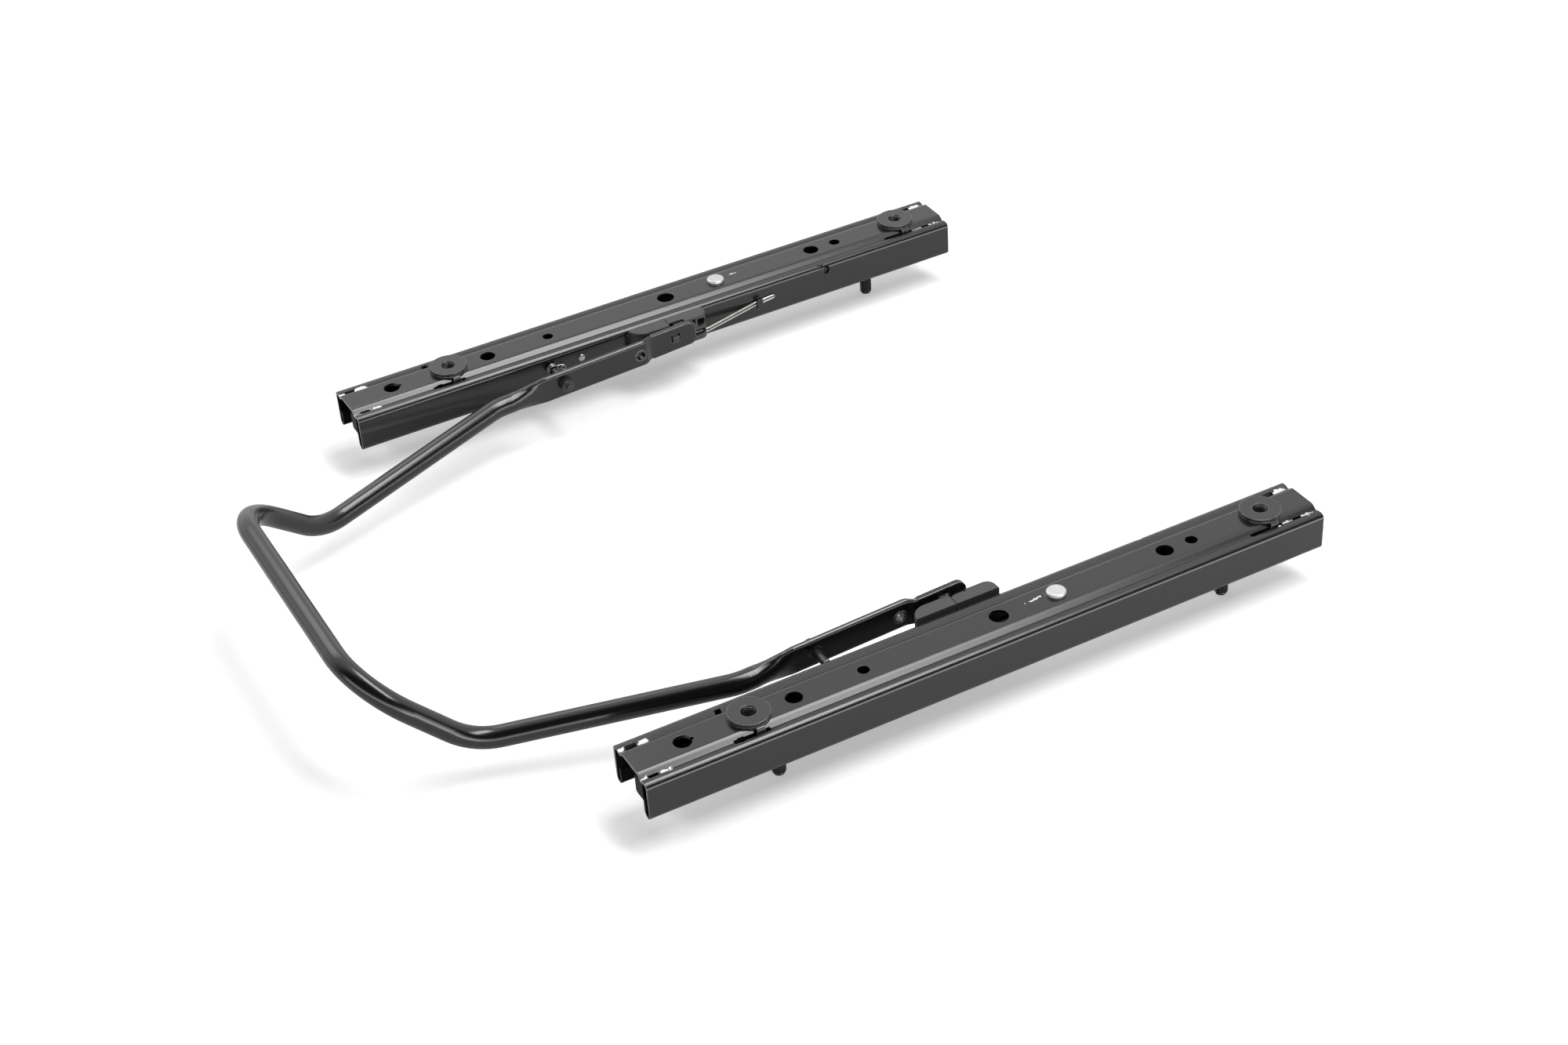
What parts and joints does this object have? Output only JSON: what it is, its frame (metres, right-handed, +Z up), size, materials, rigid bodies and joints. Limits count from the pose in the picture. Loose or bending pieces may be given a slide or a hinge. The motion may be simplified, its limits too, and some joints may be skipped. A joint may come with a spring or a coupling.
{
  "type": "slide rail pair",
  "caption": "Pair of ball-bearing sliding rails for a car chair, with floor studs, round threaded mounting discs, toothed latches and a lift handle loop joining both sides.",
  "frame": {"origin": "centre of the rectangle of floor studs, on the floor face of the lower rails", "axes": "+X towards the rear along the rails, +Y towards the right-hand rail, +Z up"},
  "size_m": [0.5424, 0.446, 0.077],
  "materials": {
    "rail_coat": "semi-gloss black coating",
    "housing_plastic": "matte moulded",
    "cage_nylon": "black moulded",
    "bush_plastic": "satin",
    "zinc": "bright zinc plate",
    "ball_steel": "polished",
    "plate_steel": "oiled dark steel",
    "pin_steel": "satin black",
    "stud_steel": "dark phosphate"
  },
  "bodies": {
    "floor_rails": {"left_lower_rail": "rail_coat", "right_lower_rail": "rail_coat", "floor_studs": "stud_steel"},
    "left_slider": {"left_upper_rail": "rail_coat", "left_bolt_discs": "rail_coat", "left_stop_block": "rail_coat", "left_stop_rivet": "zinc", "left_latch_housing": "housing_plastic", "left_housing_cap": "housing_plastic", "left_latch_spring": "zinc", "left_pivot_pin": "pin_steel", "left_pin_clip": "pin_steel", "left_pin_coil": "zinc", "left_wall_rivet": "zinc"},
    "right_slider": {"right_upper_rail": "rail_coat", "right_bolt_discs": "rail_coat", "right_stop_block": "rail_coat", "right_stop_rivet": "zinc", "right_latch_housing": "housing_plastic", "right_housing_cap": "housing_plastic", "right_latch_spring": "zinc", "right_pivot_pin": "pin_steel", "right_pin_clip": "pin_steel", "right_pin_coil": "zinc", "right_wall_rivet": "zinc"},
    "left_cage": {"left_ball_cage": "cage_nylon", "left_track_balls": "ball_steel"},
    "right_cage": {"right_ball_cage": "cage_nylon", "right_track_balls": "ball_steel"},
    "handle": {"handle_loop": "rail_coat", "lever_bushes": "bush_plastic"},
    "left_lock": {"left_lock_plate": "plate_steel"},
    "right_lock": {"right_lock_plate": "plate_steel"}
  },
  "joints": [
    {"name": "left_slide", "type": "slide", "parent": "floor_rails", "child": "left_slider", "axis": [1, 0, 0], "range_m": [-0.12, 0.04]},
    {"name": "right_slide", "type": "slide", "parent": "floor_rails", "child": "right_slider", "axis": [1, 0, 0], "range_m": [-0.12, 0.04]},
    {"name": "left_cage_roll", "type": "slide", "parent": "floor_rails", "child": "left_cage", "axis": [1, 0, 0], "range_m": [-0.06, 0.02]},
    {"name": "right_cage_roll", "type": "slide", "parent": "floor_rails", "child": "right_cage", "axis": [1, 0, 0], "range_m": [-0.06, 0.02]},
    {"name": "handle_lift", "type": "hinge", "parent": "left_slider", "child": "handle", "pos_m": [-0.0986, 0, 0.0161], "axis": [0, 1, 0], "range_deg": [-2.41, 0]},
    {"name": "left_lock_rise", "type": "slide", "parent": "left_slider", "child": "left_lock", "axis": [0, 0, 1], "range_m": [0, 0.0034]},
    {"name": "right_lock_rise", "type": "slide", "parent": "right_slider", "child": "right_lock", "axis": [0, 0, 1], "range_m": [0, 0.0034]}
  ],
  "couplings": [
    {"joint": "right_slide", "follows": "left_slide", "ratio": 1},
    {"joint": "left_cage_roll", "follows": "left_slide", "ratio": 0.5},
    {"joint": "right_cage_roll", "follows": "left_slide", "ratio": 0.5},
    {"joint": "left_lock_rise", "follows": "handle_lift", "m_per_rad": -0.0807},
    {"joint": "right_lock_rise", "follows": "handle_lift", "m_per_rad": -0.0807}
  ]
}
